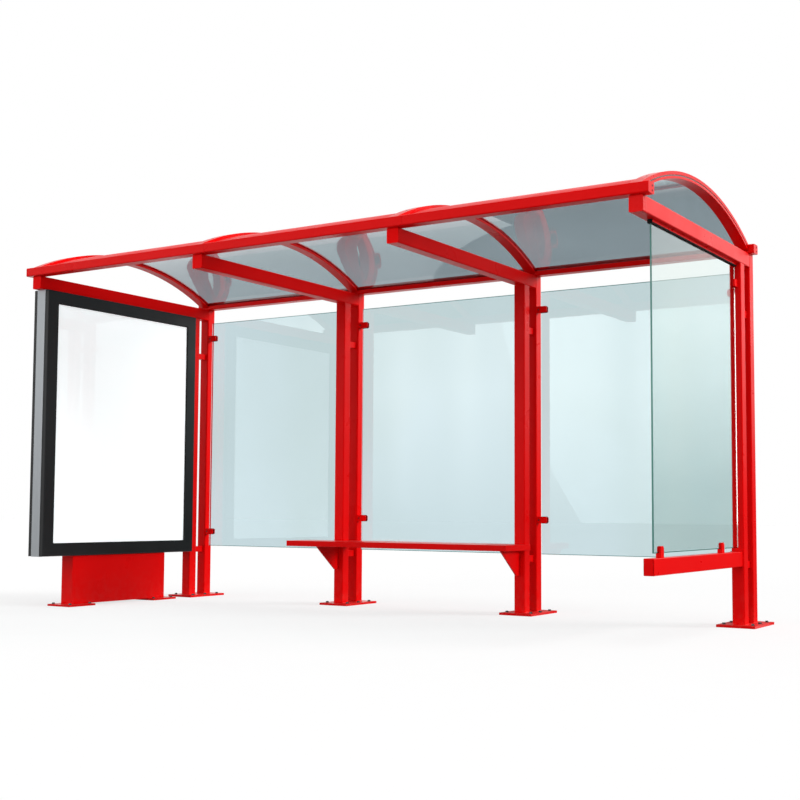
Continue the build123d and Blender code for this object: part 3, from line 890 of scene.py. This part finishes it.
coat(["case_pedestal"], powder_coat("pedestal_powder_coat", wear=0.25, dust=0.04, splash=0.04))
coat(["case_feet"], plate_coat)
feet_low, feet_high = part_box("case_feet")
foot_x = (feet_low.x + feet_high.x) / 2
by_side, by_row = FOOT_ANCHOR_TURNS
foot_places = [Matrix.Translation((foot_x + sx * FOOT_ANCHOR_X,
                                   end + way * FOOT_HALF + sy * FOOT_ANCHOR_Y, 0))
               @ Matrix.Rotation(by_side * sx + by_row * sy + way, 4, "Z")
               for way, end in ((1, feet_low.y), (-1, feet_high.y))
               for sx in (-1, 1) for sy in (-1, 1)]
piece("case_foot_anchors", repeated(anchor_screw(feet_high.z), foot_places), anchor_zinc)


# ---- Floor
# A pale studio floor, level under the base plates. It shows white to the eye and keeps the
# soft shadow of the shelter.
FLOOR_GREY = (0.30, 0.30, 0.30)
FLOOR_GLOW = 0.68
FLOOR_SPECKLE = 3.0             # patches per metre
FLOOR_REACH = 60.0
WHITE_LIGHT = (1, 1, 1, 1)

bpy.context.scene.view_settings.view_transform = "Standard"


def seen_directly(tree):
    """1 for what the eye, a mirror or clear glass sees, 0 for light that a surface gathers."""
    path = add(tree, "ShaderNodeLightPath").outputs
    seen = maths(tree, "MAXIMUM", path["Is Camera Ray"], path["Is Glossy Ray"])
    return maths(tree, "MAXIMUM", seen, path["Is Transmission Ray"])


floor_bm = bmesh.new()
bmesh.ops.create_grid(floor_bm, x_segments=1, y_segments=1, size=FLOOR_REACH)
floor_mesh = bpy.data.meshes.new("floor")
floor_bm.to_mesh(floor_mesh)
floor_bm.free()
floor = bpy.data.objects.new("floor", floor_mesh)
bpy.context.scene.collection.objects.link(floor)
floor_finish, floor_tree = new_finish("studio_floor")
speckle = tint(floor_tree, cloud(floor_tree, FLOOR_SPECKLE, detail=4.0), shaded(FLOOR_GREY, 0.97),
               FLOOR_GREY)
matt = add(floor_tree, "ShaderNodeBsdfDiffuse", {"Color": speckle}).outputs[0]
floor_glow = times(floor_tree, seen_directly(floor_tree), FLOOR_GLOW)
glow = add(floor_tree, "ShaderNodeEmission", {"Color": WHITE_LIGHT, "Strength": floor_glow})
both = add(floor_tree, "ShaderNodeAddShader", {0: matt, 1: glow.outputs[0]})
close_finish(floor_tree, both.outputs[0])
floor_mesh.materials.append(floor_finish)


# ---- Light
# A broad low key from behind on the right, a soft fill from the front and one from above, and
# an even sky. Two graded cards, seen only as sheen in paint and glass, stand in for the room.
SKY = 0.44
KEY = 2.8
KEY_FROM = (0.80, 0.48, 0.33)
KEY_SPREAD = 26
FILL = 1.25
FILL_FROM = (-0.05, -1.0, 0.22)
TOP = 0.9
TOP_FROM = (0.30, -0.20, 0.93)
SOFT_SPREAD = 50
CARD_FOOT = 0.003
REAR_CARD = (-1.6, 9.0, 0.95, 4.5, 5.0)     # left, right, near, far, top
REAR_UP = (0.9, 2.5, 0.05, 1.25)            # two heights, and the strength at each
REAR_ALONG = (3.3, 0.8, 1.0, 1.5)           # two places, and the share at each
FRONT_CARD = (-13.0, 0.5, -9.0, 6.0)        # left, right, distance, top
FRONT_UP = (0.4, 2.6, 0.40, 3.7)
FRONT_FADE = (3.6, 4.3, 1.0, 0.55)
STRIPES = 0.9                               # patches per metre
STRIPE_STRETCH = (1.0, 1.0, 0.05)
STRIPE_STRENGTH = (0.75, 1.15)

sky = bpy.data.worlds.new("studio_sky")
sky.use_nodes = True
sky_tree = sky.node_tree
sky_tree.nodes.clear()
sky_level = ramp(sky_tree, seen_directly(sky_tree), 0.0, 1.0, SKY, 1.0)
sky_light = add(sky_tree, "ShaderNodeBackground", {"Color": WHITE_LIGHT, "Strength": sky_level})
add(sky_tree, "ShaderNodeOutputWorld", {"Surface": sky_light.outputs[0]})
bpy.context.scene.world = sky


def sun(name, strength, source, spread):
    """A far lamp whose light comes from source, softened over spread degrees."""
    data = bpy.data.lights.new(name, "SUN")
    data.energy = strength
    data.angle = math.radians(spread)
    made = bpy.data.objects.new(name, data)
    made.rotation_euler = Vector(source).to_track_quat("Z", "Y").to_euler()
    made.visible_glossy = False
    bpy.context.scene.collection.objects.link(made)


sun("key", KEY, KEY_FROM, KEY_SPREAD)
sun("fill", FILL, FILL_FROM, SOFT_SPREAD)
sun("top", TOP, TOP_FROM, SOFT_SPREAD)


def card(name, corners, level_of):
    """A glowing card that only mirrors and sheen show. level_of makes its strength."""
    bm = bmesh.new()
    rows = [[bm.verts.new(place) for place in row] for row in corners]
    for low, high in zip(rows, rows[1:]):
        bm.faces.new((low[0], low[1], high[1], high[0]))
    mesh = bpy.data.meshes.new(name)
    bm.to_mesh(mesh)
    bm.free()
    made = bpy.data.objects.new(name, mesh)
    made.visible_camera = made.visible_diffuse = made.visible_transmission = False
    made.visible_shadow = made.visible_volume_scatter = False
    bpy.context.scene.collection.objects.link(made)
    finish, tree = new_finish(name)
    close_finish(tree, add(tree, "ShaderNodeEmission", {"Strength": level_of(tree)}).outputs[0])
    mesh.materials.append(finish)


def rear_level(tree):
    """Dark at the foot, bright above head height, brighter still to the left."""
    return times(tree, ramp(tree, place_along(tree, "Z"), *REAR_UP),
                 ramp(tree, place_along(tree, "X"), *REAR_ALONG))


def front_level(tree):
    """Bright in a broad band at window height, in soft upright stripes."""
    height = place_along(tree, "Z")
    band = times(tree, ramp(tree, height, *FRONT_UP), ramp(tree, height, *FRONT_FADE))
    stripes = cloud(tree, STRIPES, stretch=STRIPE_STRETCH)
    return times(tree, band, ramp(tree, stripes, 0.35, 0.65, *STRIPE_STRENGTH))


left, right, near, far, top = REAR_CARD
card("rear_card", [((left, near, CARD_FOOT), (right, near, CARD_FOOT)),
                   ((left, far, CARD_FOOT), (right, far, CARD_FOOT)),
                   ((left, far, top), (right, far, top))], rear_level)
left, right, far, top = FRONT_CARD
card("front_card", [((left, far, CARD_FOOT), (right, far, CARD_FOOT)),
                    ((left, far, top), (right, far, top))], front_level)


# ---- Camera
# Stands low off the front right corner of the shelter, eight and a half metres from its
# middle, and looks slightly up at it.
CAMERA_AT = (4.71395, -7.06852, 0.70424)
CAMERA_YAW = 32.71445
CAMERA_PITCH = 3.96638
CAMERA_ROLL = 0.35018
CAMERA_LENS = 57.12305
CAMERA_SENSOR = 36.0
CAMERA_SHIFT = (0.0041022, 0.0271743)
CAMERA_CLIP = 200.0

camera_data = bpy.data.cameras.new("camera")
camera_data.sensor_width = CAMERA_SENSOR
camera_data.lens = CAMERA_LENS
camera_data.shift_x, camera_data.shift_y = CAMERA_SHIFT
camera_data.clip_end = CAMERA_CLIP
camera = bpy.data.objects.new("camera", camera_data)
camera.matrix_world = (Matrix.Translation(CAMERA_AT)
                       @ Matrix.Rotation(math.radians(CAMERA_YAW), 4, "Z")
                       @ Matrix.Rotation(math.radians(90 + CAMERA_PITCH), 4, "X")
                       @ Matrix.Rotation(math.radians(CAMERA_ROLL), 4, "Z"))
bpy.context.scene.collection.objects.link(camera)
bpy.context.scene.camera = camera
